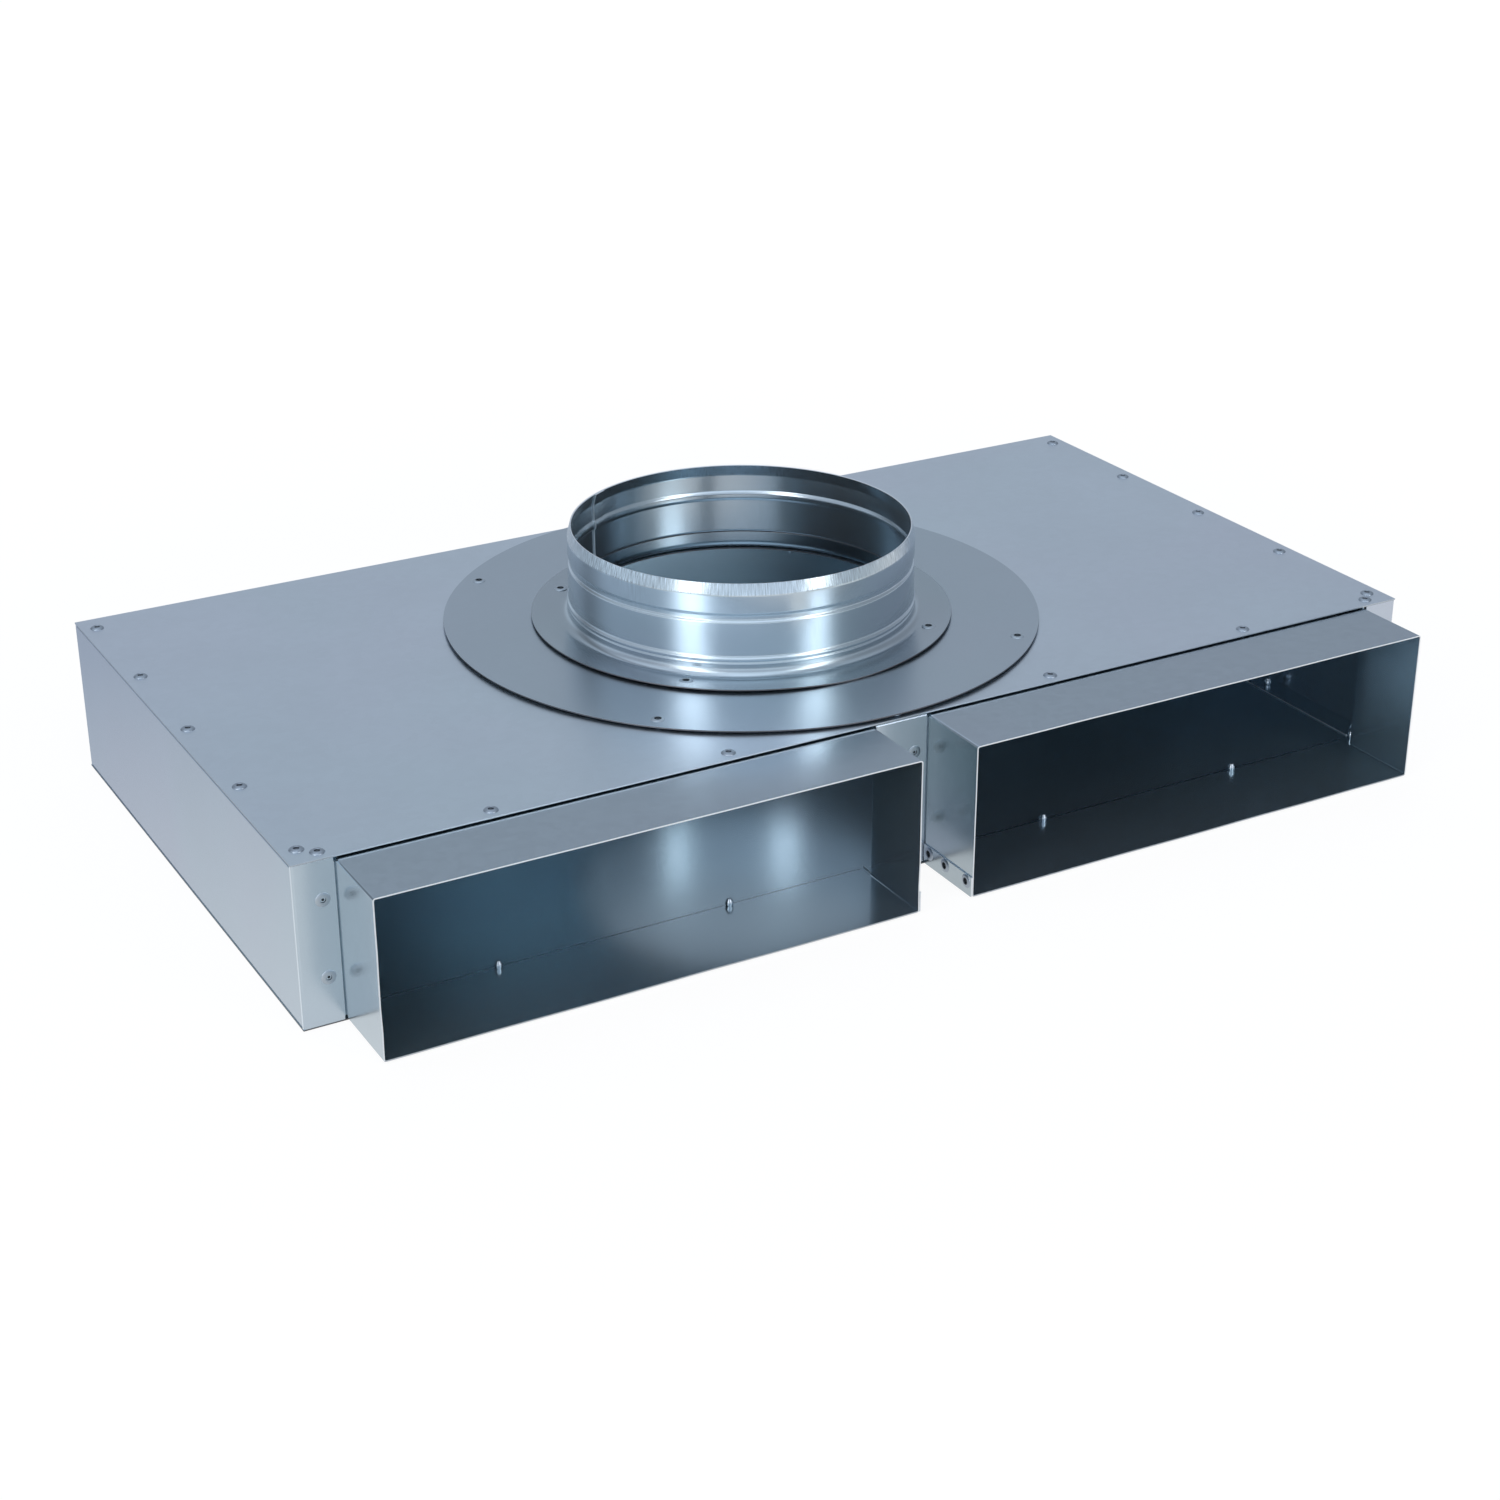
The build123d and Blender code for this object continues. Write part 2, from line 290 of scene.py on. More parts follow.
def hoopScratchGroup(v):
    # short upright scratches round a collar about the Z axis, thick where it was handled
    group, given, out = newGroup("hoopScratch", [
        ("Vector", "Vector", None),
        ("From Height", "Float", 0.1425),
        ("Amount", "Float", 0.3),
    ], [("Mask", "Float")])
    part = addNode(group, "SeparateXYZ", {0: given.outputs["Vector"]})
    angle = math(group, "ARCTAN2", part.outputs["Y"], part.outputs["X"])
    lines = addNode(group, "CombineXYZ", {0: math(group, "MULTIPLY", angle, v["perTurn"]),
                                          1: math(group, "MULTIPLY", part.outputs["Z"], v["perHeight"]),
                                          2: 0.0})
    fine = addNode(group, "TexNoise", {"Vector": lines.outputs[0], "Scale": v["lines"], "Detail": 3.0})
    area = addNode(group, "TexNoise", {"Vector": given.outputs["Vector"], "Scale": v["area"], "Detail": 2.0})
    low = given.outputs["From Height"]
    band = addNode(group, "MapRange", {"Value": part.outputs["Z"], "From Min": low,
                                       "From Max": math(group, "ADD", low, v["bandEdge"])})
    patchy = addNode(group, "MapRange", {"Value": area.outputs["Fac"],
                                         "From Min": v["handled"][0], "From Max": v["handled"][1]})
    faint = addNode(group, "MapRange", {"Value": area.outputs["Fac"],
                                        "From Min": v["faint"][0], "From Max": v["faint"][1],
                                        "To Max": v["faintMost"]})
    thick = math(group, "MULTIPLY", band.outputs[0], patchy.outputs[0])
    where = math(group, "MAXIMUM", thick, faint.outputs[0])
    swung = math(group, "MULTIPLY", math(group, "SUBTRACT", fine.outputs["Fac"], 0.5), where)
    group.links.new(math(group, "MULTIPLY", swung, given.outputs["Amount"]), out.inputs["Mask"])
    return group


zincSkin = zincSkinGroup(skinPattern)
sheetWave = sheetWaveGroup(relief)
hoopScratch = hoopScratchGroup(scratchPattern)

# One entry for each kind of surface: tone, roughness and how much pattern shows
patternless = {"spangle": 0.0, "rolling": 0.0, "smudges": 0.1, "tint": 0.0, "wave": 0.0}
zincFinishes = {
    "boxZinc": {"tone": (0.56, 0.625, 0.71), "rough": 0.24,
                "spangle": 0.01, "rolling": 0.015, "smudges": 0.12, "tint": 0.1, "wave": 0.4},
    "lidZinc": {"tone": (0.72, 0.79, 0.865), "rough": 0.31,
                "spangle": 0.02, "rolling": 0.02, "smudges": 0.07, "tint": 0.06, "wave": 0.5},
    # inner faces of all sheets: a darker tone as painted shade inside the box and spigots
    "shadedInnerZinc": {"tone": (0.45, 0.55, 0.615), "rough": 0.2,
                  "spangle": 0.0, "rolling": 0.004, "smudges": 0.1, "tint": 0.08, "wave": 0.12, "metal": 0.92},
    "discZinc": {"tone": (0.54, 0.61, 0.675), "rough": 0.29,
                 "spangle": 0.01, "rolling": 0.02, "smudges": 0.04, "tint": 0.05, "wave": 0.4},
    "ringZinc": {"tone": (0.49, 0.555, 0.61), "rough": 0.25,
                 "spangle": 0.01, "rolling": 0.02, "smudges": 0.06, "tint": 0.1, "wave": 0.4},
    "sleeveZinc": {"tone": (0.52, 0.59, 0.655), "rough": 0.2,
                   "spangle": 0.03, "rolling": 0.05, "smudges": 0.05, "tint": 0.05, "wave": 0.4},
    # upright walls of the spigots: lighter than top and floor, as painted light
    "litSleeveSideZinc": {"tone": (0.58, 0.65, 0.71), "rough": 0.19,
                       "spangle": 0.03, "rolling": 0.05, "smudges": 0.06, "tint": 0.05, "wave": 0.3},
    # spigot wall beside the middle gap: a darker tone as painted shade between the spigots
    "shadedGapZinc": {"tone": (0.46, 0.54, 0.57), "rough": 0.22,
                "spangle": 0.03, "rolling": 0.05, "smudges": 0.08, "tint": 0.08, "wave": 0.3},
    "collarZinc": {"tone": (0.56, 0.63, 0.69), "rough": 0.22,
                   "spangle": 0.005, "rolling": 0.0, "smudges": 0.08, "tint": 0.1, "wave": 0.3,
                   "scratches": 2.3, "metal": 0.95},
    # cut edges: the bare metal of the cut, lightened further as a painted highlight along the sheet edges
    "cutEdgeHighlight": {**patternless, "tone": (0.8, 0.84, 0.88), "rough": 0.42, "rolling": 0.1, "smudges": 0.12},
    # front fold of the side walls: a lighter tone as a painted highlight
    "foldHighlightZinc": {"tone": (0.8, 0.86, 0.92), "rough": 0.2,
                 "spangle": 0.0, "rolling": 0.05, "smudges": 0.5, "tint": 0.05, "wave": 0.0},
    # lower cut edges of the spigots: a darker tone as painted shade near the floor
    "shadedUnderEdge": {**patternless, "tone": (0.46, 0.5, 0.54), "rough": 0.42, "rolling": 0.1, "smudges": 0.12},
    "shadeZinc": {**patternless, "tone": (0.37, 0.44, 0.49), "rough": 0.3, "rolling": 0.1, "smudges": 0.2},
    # the lid's cut edge: darker than other cut edges, painted shade of the dark line at the lid's front
    "shadedLidEdge": {**patternless, "tone": (0.5, 0.55, 0.6), "rough": 0.42, "rolling": 0.1, "smudges": 0.2},
    # dark cut edges: painted shade along rims that sit over gaps or on the floor
    "paintedShadeEdge": {**patternless, "tone": (0.16, 0.16, 0.17), "rough": 0.5, "rolling": 0.1, "smudges": 0.2},
    "rivetSteel": {**patternless, "tone": (0.38, 0.43, 0.49), "rough": 0.36},
    "flushSteel": {**patternless, "tone": (0.46, 0.52, 0.575), "rough": 0.42},
    "tailSteel": {**patternless, "tone": (0.5, 0.55, 0.6), "rough": 0.22},
    # mandrel stub: steel, darkened as painted shade in its hole
    "shadedMandrelSteel": {**patternless, "tone": (0.18, 0.2, 0.23), "rough": 0.5, "smudges": 0.2},
    # near-black middle of flush heads: painted shade of the mandrel hole
    "holeShadeCore": {**patternless, "tone": (0.05, 0.06, 0.07), "rough": 0.5, "smudges": 0.2},
}


def makeZinc(name, v):
    material = bpy.data.materials.new(name)
    material.use_nodes = True
    tree = material.node_tree
    tree.nodes.clear()
    place = addNode(tree, "TexCoord").outputs["Object"]
    skin = addNode(tree, "Group", node_tree=zincSkin)
    tree.links.new(place, skin.inputs["Vector"])
    skin.inputs["Tone"].default_value = (*v["tone"], 1)
    for socket, key in (("Spangle", "spangle"), ("Rolling", "rolling"), ("Smudges", "smudges"),
                        ("Tint", "tint"), ("Roughness", "rough")):
        skin.inputs[socket].default_value = v[key]
    colour, height = skin.outputs["Color"], skin.outputs["Height"]
    if v.get("scratches"):
        scratch = addNode(tree, "Group", node_tree=hoopScratch)
        tree.links.new(place, scratch.inputs["Vector"])
        scratch.inputs["Amount"].default_value = v["scratches"]
        mask = scratch.outputs["Mask"]
        colour = addNode(tree, "VectorMath", {0: colour, "Scale": math(tree, "ADD", 1.0, mask)},
                         operation="SCALE").outputs[0]
        height = math(tree, "ADD", height, math(tree, "MULTIPLY", mask, relief["scratchHeight"]))
    shader = addNode(tree, "BsdfPrincipled", {
        "Metallic": v.get("metal", 1.0),
        "Base Color": colour,
        "Roughness": skin.outputs["Roughness"],
    })
    bump = addNode(tree, "Bump", {"Height": height, "Strength": relief["strength"],
                                  "Distance": relief["depth"]})
    if v["wave"]:
        wave = addNode(tree, "Group", node_tree=sheetWave)
        tree.links.new(place, wave.inputs["Vector"])
        swell = addNode(tree, "Bump", {"Height": wave.outputs["Height"], "Strength": v["wave"],
                                       "Distance": relief["waveDepth"]})
        tree.links.new(swell.outputs[0], bump.inputs["Normal"])
    tree.links.new(bump.outputs[0], shader.inputs["Normal"])
    addNode(tree, "OutputMaterial", {"Surface": shader.outputs[0]})
    return material


zinc = {name: makeZinc(name, v) for name, v in zincFinishes.items()}
print("finishes made:", ", ".join(zinc))


# mesh helpers

def newPiece(name, bm, node, materials):
    bmesh.ops.scale(bm, vec=(mm, mm, mm), verts=bm.verts)
    mesh = bpy.data.meshes.new(name)
    bm.to_mesh(mesh)
    bm.free()
    for material in materials:
        mesh.materials.append(zinc[material])
    piece = bpy.data.objects.new(name, mesh)
    bpy.context.scene.collection.objects.link(piece)
    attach(piece, "root")
    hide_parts(node)
    return piece


sheetFinish = {
    "sharpAngle": 30, "rivetSharpAngle": 35,     # degrees
    "deburr": 0.12, "deburrSteps": 2, "deburrFrom": 50,
    "weld": 0.0005,
}


def finishMesh(piece, sharpAngle=sheetFinish["sharpAngle"]):
    evaluated = piece.evaluated_get(bpy.context.evaluated_depsgraph_get())
    mesh = bpy.data.meshes.new_from_object(evaluated)
    piece.modifiers.clear()
    piece.data = mesh
    mesh.shade_smooth()
    mesh.set_sharp_from_angle(angle=radians(sharpAngle))
    flat = piece.modifiers.new("flatFaces", "WEIGHTED_NORMAL")
    flat.keep_sharp = True


def thicken(piece, thickness, side, lined=False):
    # side -1 grows the sheet behind its faces, 1 in front of them; the rim is cut edge,
    # and a lined sheet takes the material two slots on for its inner face, a darker tone as painted shade
    # inside
    wall = piece.modifiers.new("sheet", "SOLIDIFY")
    wall.thickness = thickness * mm
    wall.offset = side
    wall.use_even_offset = True
    wall.material_offset_rim = 1
    wall.material_offset = 2 if lined else 0
    rounding = piece.modifiers.new("deburred", "BEVEL")
    rounding.width = sheetFinish["deburr"] * mm
    rounding.segments = sheetFinish["deburrSteps"]
    rounding.limit_method = "ANGLE"
    rounding.angle_limit = radians(sheetFinish["deburrFrom"])
    rounding.material = -1
    finishMesh(piece)


def wirePath(bm, points):
    verts = [bm.verts.new(p) for p in points]
    edges = [bm.edges.new(pair) for pair in zip(verts, verts[1:])]
    return verts, edges


def roundCorners(bm, verts, radius, segments):
    bmesh.ops.bevel(bm, geom=verts, offset=radius, offset_type="OFFSET", segments=segments,
                    profile=0.5, affect="VERTICES", material=-1)


def spinAll(bm, steps, angle=2 * pi):
    full = abs(angle - 2 * pi) < 1e-6
    bmesh.ops.spin(bm, geom=bm.verts[:] + bm.edges[:], cent=(0, 0, 0), axis=(0, 0, 1), dvec=(0, 0, 0),
                   angle=angle, steps=steps, use_merge=full, use_duplicate=False)
    bmesh.ops.remove_doubles(bm, verts=bm.verts, dist=sheetFinish["weld"])


def pushOut(bm, edges, vector):
    made = bmesh.ops.extrude_edge_only(bm, edges=edges)["geom"]
    verts = [g for g in made if isinstance(g, bmesh.types.BMVert)]
    bmesh.ops.translate(bm, vec=vector, verts=verts)
    return [g for g in made if isinstance(g, bmesh.types.BMEdge) and all(v in verts for v in g.verts)]


# lid and bottom plate

plates = {
    "width": 700, "depth": 356, "thickness": 0.8,
    "lidTop": 93.0, "bore": 210, "borePoints": 96, "rings": 10,
    "swell": 0.25,           # how far the lid bows between its rivets
    "swellLength": 90, "swellSink": 0.4,
    "flatBand": 60,          # width along the edges over which the bow fades in
    "baseGrid": (36, 18),
}


def squareLoop(bm, v):
    bmesh.ops.create_grid(bm, x_segments=1, y_segments=1, size=0.5)
    bmesh.ops.delete(bm, geom=bm.faces[:], context="FACES_ONLY")
    bmesh.ops.subdivide_edges(bm, edges=bm.edges[:], cuts=v["borePoints"] // 4 - 1)
    bmesh.ops.scale(bm, vec=(v["width"], v["depth"], 1), verts=bm.verts)


def makeLid(v):
    bm = bmesh.new()
    squareLoop(bm, v)
    bmesh.ops.create_circle(bm, segments=v["borePoints"], radius=v["bore"] / 2)
    spokes = bmesh.ops.bridge_loops(bm, edges=bm.edges[:])["edges"]
    bmesh.ops.subdivide_edges(bm, edges=spokes, cuts=v["rings"], use_grid_fill=True)
    for vert in bm.verts:
        x, y = vert.co.x, vert.co.y
        inside = min(v["width"] / 2 - abs(x), v["depth"] / 2 - abs(y))
        edge = max(0.0, 1 - inside / v["flatBand"])
        bow = noise.noise(Vector((x, y, 0)) / v["swellLength"]) - v["swellSink"]
        vert.co.z = v["lidTop"] + v["swell"] * (1 - edge) * bow
    facesUp(bm)
    # the lid's rim takes the darker edge tone: painted shade
    piece = newPiece("lid", bm, "top_plate", ["lidZinc", "shadedLidEdge", "shadedInnerZinc"])
    thicken(piece, v["thickness"], -1, lined=True)


def makeBase(v):
    bm = bmesh.new()
    bmesh.ops.create_grid(bm, x_segments=v["baseGrid"][0], y_segments=v["baseGrid"][1], size=0.5)
    bmesh.ops.scale(bm, vec=(v["width"], v["depth"], 1), verts=bm.verts)
    facesUp(bm, -1)
    # the bottom plate's cut edge is dark: painted shade along its foot
    piece = newPiece("basePlate", bm, "bottom_plate", ["boxZinc", "paintedShadeEdge", "shadedInnerZinc"])
    thicken(piece, v["thickness"], -1, lined=True)


def facesUp(bm, way=1):
    bmesh.ops.recalc_face_normals(bm, faces=bm.faces)
    if bm.faces[:][0].normal.z * way < 0:
        bmesh.ops.reverse_faces(bm, faces=bm.faces)


makeLid(plates)
makeBase(plates)
print("lid and bottom plate made")


# side walls, back wall and centre post

walls = {
    "outX": 350, "outY": 178, "low": 0.8, "high": 92.2,
    "returnEdge": 327.8, "fold": 1.6, "foldSteps": 5,
    "sideFlange": 16, "endFlange": 12, "mitre": 1.0,
    "postEdge": 16.2, "earInset": 2.8, "earNotch": 4, "backPanel": 177.2,
    "panelMitre": 0.5, "panelStep": 30,
    "thickness": 0.8,
    "foldHighlightReach": 0.32,         # how deep into the front fold its painted highlight reaches
}


def foldOver(bm, edges, centre, axis, angle, reach, pinch, steps):
    # rolls the edges round a fold and runs them on as a flange with mitred ends
    spun = bmesh.ops.spin(bm, geom=edges, cent=centre, axis=axis, dvec=(0, 0, 0), angle=angle,
                          steps=steps, use_merge=False, use_duplicate=False)["geom_last"]
    last = [g for g in spun if isinstance(g, bmesh.types.BMEdge)]
    ends = pushOut(bm, last, reach)
    verts = sorted({vert for e in ends for vert in e.verts}, key=lambda vert: vert.co.dot(Vector(axis)))
    along = Vector(axis)
    bmesh.ops.translate(bm, vec=along * pinch, verts=[verts[0]])
    bmesh.ops.translate(bm, vec=-along * pinch, verts=[verts[-1]])


def makeSideWall(name, node, side, v):
    bm = bmesh.new()
    x, y, f = v["outX"], v["outY"], v["fold"]
    verts, _ = wirePath(bm, [(-v["returnEdge"], -y, v["low"]), (-x, -y, v["low"]), (-x, y, v["low"]),
                             (-v["returnEdge"], y, v["low"])])
    roundCorners(bm, verts[1:3], f, v["foldSteps"])
    rows = [bm.edges[:]]
    for lift in (f, v["high"] - v["low"] - 2 * f, f):
        rows.append(pushOut(bm, rows[-1], (0, 0, lift)))
    inner = y - f - 0.01
    ends = [f_ for f_ in bm.faces if all(abs(vert.co.x + x) < 0.01 and abs(vert.co.y) < inner + 0.02
                                         for vert in f_.verts)
            and (f_.calc_center_median().z < v["low"] + f or f_.calc_center_median().z > v["high"] - f)]
    bmesh.ops.delete(bm, geom=ends, context="FACES")
    for level, way in ((v["high"] - f, 1), (v["low"] + f, -1)):
        edges = [e for e in bm.edges if e.is_boundary
                 and all(abs(vert.co.z - level) < 0.01 and abs(vert.co.x + x) < 0.01 for vert in e.verts)]
        foldOver(bm, edges, (-x + f, 0, level), (0, 1, 0), way * pi / 2,
                 (v["sideFlange"] - f, 0, 0), v["endFlange"] + v["mitre"] - f, v["foldSteps"])
    bmesh.ops.recalc_face_normals(bm, faces=bm.faces)
    broad = max(bm.faces, key=lambda face: face.calc_area())
    if broad.normal.x > 0:
        bmesh.ops.reverse_faces(bm, faces=bm.faces)
    if side > 0:
        bmesh.ops.scale(bm, vec=(-1, 1, 1), verts=bm.verts)
        bmesh.ops.reverse_faces(bm, faces=bm.faces)
    # the front fold gets a lighter tone: a painted highlight along the fold
    for face in bm.faces:
        spot = face.calc_center_median()
        if spot.y < f - y and abs(spot.x) > x - v["foldHighlightReach"]:
            face.material_index = 3
    piece = newPiece(name, bm, node, ["boxZinc", "cutEdgeHighlight", "shadedInnerZinc",
                                      "foldHighlightZinc", "cutEdgeHighlight", "shadedInnerZinc"])
    thicken(piece, v["thickness"], -1, lined=True)


def makePanel(bm, low, high, y, flange, way, v):
    # flat panel between two x positions, its top and bottom folded inwards
    f = v["fold"]
    _, edges = wirePath(bm, [(low, y, v["low"] + f), (high, y, v["low"] + f)])
    bmesh.ops.subdivide_edges(bm, edges=edges, cuts=max(1, int((high - low) / v["panelStep"])))
    bottom = [e for e in bm.edges if not e.link_faces
              and all(abs(vert.co.z - v["low"] - f) < 0.01 for vert in e.verts)]
    top = pushOut(bm, bottom, (0, 0, v["high"] - v["low"] - 2 * f))
    for edges, level, turn in ((top, v["high"] - f, 1), (bottom, v["low"] + f, -1)):
        foldOver(bm, edges, (0, y + way * f, level), (1, 0, 0), -way * turn * pi / 2,
                 (0, way * (flange - f), 0), v["panelMitre"], v["foldSteps"])


def makeCentrePost(v):
    bm = bmesh.new()
    makePanel(bm, -v["postEdge"], v["postEdge"], -v["outY"], v["endFlange"], 1, v)
    bmesh.ops.recalc_face_normals(bm, faces=bm.faces)
    if max(bm.faces, key=lambda face: face.calc_area()).normal.y > 0:
        bmesh.ops.reverse_faces(bm, faces=bm.faces)
    piece = newPiece("centrePost", bm, "centre_post", ["boxZinc", "cutEdgeHighlight", "shadedInnerZinc"])
    thicken(piece, v["thickness"], -1, lined=True)


def makeBackWall(v):
    bm = bmesh.new()
    edge = v["returnEdge"]
    makePanel(bm, -edge, edge, v["backPanel"], v["endFlange"] - v["thickness"], -1, v)
    # ears that lap behind the returns of the side walls
    for side in (-1, 1):
        _, edges = wirePath(bm, [(side * edge, v["backPanel"], v["low"] + v["earNotch"]),
                                 (side * edge, v["backPanel"], v["high"] - v["earNotch"])])
        pushOut(bm, edges, (side * (v["outX"] - v["earInset"] - edge), 0, 0))
    bmesh.ops.recalc_face_normals(bm, faces=bm.faces)
    for face in bm.faces:
        if abs(face.normal.y) > 0.9 and face.normal.y < 0:
            face.normal_flip()
    piece = newPiece("backWall", bm, "back_wall", ["boxZinc", "cutEdgeHighlight", "shadedInnerZinc"])
    thicken(piece, v["thickness"], -1, lined=True)


makeSideWall("leftWall", "left_wall", -1, walls)
makeSideWall("rightWall", "right_wall", 1, walls)
makeCentrePost(walls)
makeBackWall(walls)
print("walls made")


# rectangular spigots

sleeve = {
    "near": 17, "far": 327, "bottom": 0.8, "top": 91.3,
    "mouth": -225.99, "front": -178, "lipEnd": -168,
    "fold": 1.6, "foldSteps": 5, "thickness": 0.8,
    "lug": 16, "lugBend": (0.4, 0.7), "lugRake": 0.1,
    "wave": 0.35, "topWave": 60, "sideWave": 25,
    "pointGap": 16, "lengthSteps": 6,
    "lapHeight": 12, "lapEnd": -178.8,
    "shade": 1.3,            # dark end of the lips, where they lie on the plates
}


def makeSleeve(name, node, side, v):
    bm = bmesh.new()
    width, height = v["far"] - v["near"], v["top"] - v["bottom"]
    middle = ((v["far"] + v["near"]) / 2, (v["top"] + v["bottom"]) / 2)
    bmesh.ops.create_grid(bm, x_segments=1, y_segments=1, size=0.5)
    bmesh.ops.scale(bm, vec=(width, height, 1), verts=bm.verts)
    roundCorners(bm, bm.verts[:], v["fold"], v["foldSteps"])
    bmesh.ops.delete(bm, geom=bm.faces[:], context="FACES_ONLY")
    # the long and the short sides get more points, so that they can bow a little
    longEdges = [e for e in bm.edges if e.calc_length() > 20]
    for e in longEdges:
        bmesh.ops.subdivide_edges(bm, edges=[e], cuts=int(e.calc_length() // v["pointGap"]))
    bmesh.ops.rotate(bm, verts=bm.verts, cent=(0, 0, 0), matrix=Matrix.Rotation(pi / 2, 3, "X"))
    bmesh.ops.translate(bm, vec=(middle[0], v["mouth"], middle[1]), verts=bm.verts)
    rim = bm.edges[:]
    for _ in range(v["lengthSteps"]):
        rim = pushOut(bm, rim, (0, (v["front"] - v["mouth"]) / v["lengthSteps"], 0))

    def straight(edge, axis):
        a, b = edge.verts
        return abs(a.co[axis] - b.co[axis]) > 2

    lips = [e for e in rim if straight(e, 0)]
    ends = pushOut(bm, lips, (0, v["lipEnd"] - v["front"] - v["shade"], 0))
    pushOut(bm, ends, (0, v["shade"], 0))
    for edgeX, outwards in ((v["near"], -1), (v["far"], 1)):
        sides = [e for e in rim if straight(e, 2) and abs(e.verts[0].co.x - edgeX) < 1]
        bendOut, bendBack = v["lugBend"]
        turned = pushOut(bm, sides, (outwards * bendOut, bendBack, 0))
        pushOut(bm, turned, (outwards * (v["lug"] - bendOut), v["lugRake"], 0))
    # hand-folded sheet: the free mouth runs a little wavy
    for vert in bm.verts:
        free = max(0.0, (v["front"] - vert.co.y) / (v["front"] - v["mouth"]))
        bow = v["wave"] * free * free
        inX = min(vert.co.x - v["near"], v["far"] - vert.co.x)
        inZ = min(vert.co.z - v["bottom"], v["top"] - vert.co.z)
        if inZ < 0.2 and inX > 3:
            vert.co.z += bow * noise.noise(Vector((vert.co.x / v["topWave"], side, vert.co.z)))
        if inX < 0.2 and inZ > 3:
            vert.co.x += bow * noise.noise(Vector((vert.co.z / v["sideWave"], side * 7, vert.co.x)))
    # turned-up strip of the floor, outside the wall next to the gap
    lap = []
    corner = bm.verts.new((v["near"], v["mouth"], v["bottom"] + 0.2))
    upper = bm.verts.new((v["near"], v["mouth"], v["bottom"] + v["lapHeight"]))
    lap.append(bm.edges.new((corner, upper)))
    pushOut(bm, lap, (0, v["lapEnd"] - v["mouth"], 0))
    bmesh.ops.scale(bm, vec=(side, 1, 1), verts=bm.verts)
    bmesh.ops.remove_doubles(bm, verts=bm.verts, dist=0.001)
    # every face of the tube looks away from its centre line
    centre = Vector((side * middle[0], 0, middle[1]))
    for face in bm.faces:
        spot = face.calc_center_median()
        away = Vector((spot.x - centre.x, 0, spot.z - centre.z))
        if abs(face.normal.y) > 0.7:
            away = Vector((0, -1, 0))
        if face.normal.dot(away) < 0:
            face.normal_flip()
    lapFaces = [f for f in bm.faces if f.calc_area() > 500 and abs(f.normal.x) > 0.9 and len(f.verts) == 4
                and abs(f.calc_center_median().z - (v["bottom"] + 0.1 + v["lapHeight"] / 2)) < 1]
    bmesh.ops.translate(bm, vec=(-side * v["thickness"], 0, 0),
                        verts=list({vert for f in lapFaces for vert in f.verts}))
    for face in bm.faces:
        spot = face.calc_center_median()
        # the upright walls take the lighter tone: painted light
        if abs(face.normal.z) < 0.7:
            # the wall beside the gap takes the darker tone: painted shade
            face.material_index = 6 if abs(spot.x) < v["near"] + 1 and spot.y < v["front"] else 3
        # the lips beyond the front get dark rims: painted shade where they lie on the plate
        elif spot.y > v["front"]:
            face.material_index = 12 if spot.y > v["lipEnd"] - v["shade"] else 9
        # the lower half's cut edges take the darker tone: painted shade
        elif spot.z < middle[1]:
            face.material_index = 15
    piece = newPiece(name, bm, node, ["sleeveZinc", "cutEdgeHighlight", "shadedInnerZinc",
                                      "litSleeveSideZinc", "cutEdgeHighlight", "shadedInnerZinc",
                                      "shadedGapZinc", "cutEdgeHighlight", "shadedInnerZinc",
                                      "sleeveZinc", "paintedShadeEdge", "shadedInnerZinc",
                                      "sleeveZinc", "paintedShadeEdge", "shadeZinc",
                                      "sleeveZinc", "shadedUnderEdge", "shadedInnerZinc"])
    thicken(piece, v["thickness"], -1, lined=True)


makeSleeve("leftSpigot", "left_sleeve", -1, sleeve)
makeSleeve("rightSpigot", "right_sleeve", 1, sleeve)
print("rectangular spigots made")


# disc and collar ring on the lid

coverDisc = {
    "bore": 103, "rim": 176, "base": 93.0, "dish": 1.4, "thickness": 0.8, "steps": 160,
    "rings": (103, 105.5, 113, 124, 136, 148, 158, 166, 172, 176),
    "stiffTo": 124,          # radius outside of which the disc can be pulled down
    # where its rim is pulled down: share, angle and half width in degrees
    "pulls": ((0.35, -104, 12), (0.25, 45, 14), (0.25, 135, 14), (0.25, 225, 14), (0.25, 315, 14)),
}
collarRing = {
    "neck": 101.1, "neckTop": 105.3, "bend": 6.0, "rim": 124.5, "dish": 1.2, "thickness": 0.8, "steps": 160,
    "rings": (109, 111, 113.5, 117, 121, 124.5),
    "gap": 0.1,              # room between the ring and the disc
    "footFlat": 0.4, "neckZone": 2, "bendSteps": 7,
    "dishFrom": 107, "dishPower": 1.5,
    "pulls": ((0.92, -89, 13), (0.35, 45, 16), (0.3, 150, 30)), "mostPulled": 0.95,
}


def dip(angle, centre, width):
    off = (angle - centre + 180) % 360 - 180
    return exp(-(off / width) ** 2)


def pulledDown(angle, pulls):
    return sum(share * dip(angle, centre, width) for share, centre, width in pulls)


def discLift(radius, angle):
    share = (radius - coverDisc["bore"]) / (coverDisc["rim"] - coverDisc["bore"])
    outer = max(0.0, (radius - coverDisc["stiffTo"]) / (coverDisc["rim"] - coverDisc["stiffTo"]))
    return coverDisc["dish"] * share * (1 - pulledDown(angle, coverDisc["pulls"]) * outer)


def ringLift(radius, angle):
    v = collarRing
    share = max(0.0, (radius - v["dishFrom"]) / (v["rim"] - v["dishFrom"]))
    pulled = min(v["mostPulled"], pulledDown(angle, v["pulls"]))
    return v["dish"] * share ** v["dishPower"] * (1 - pulled)


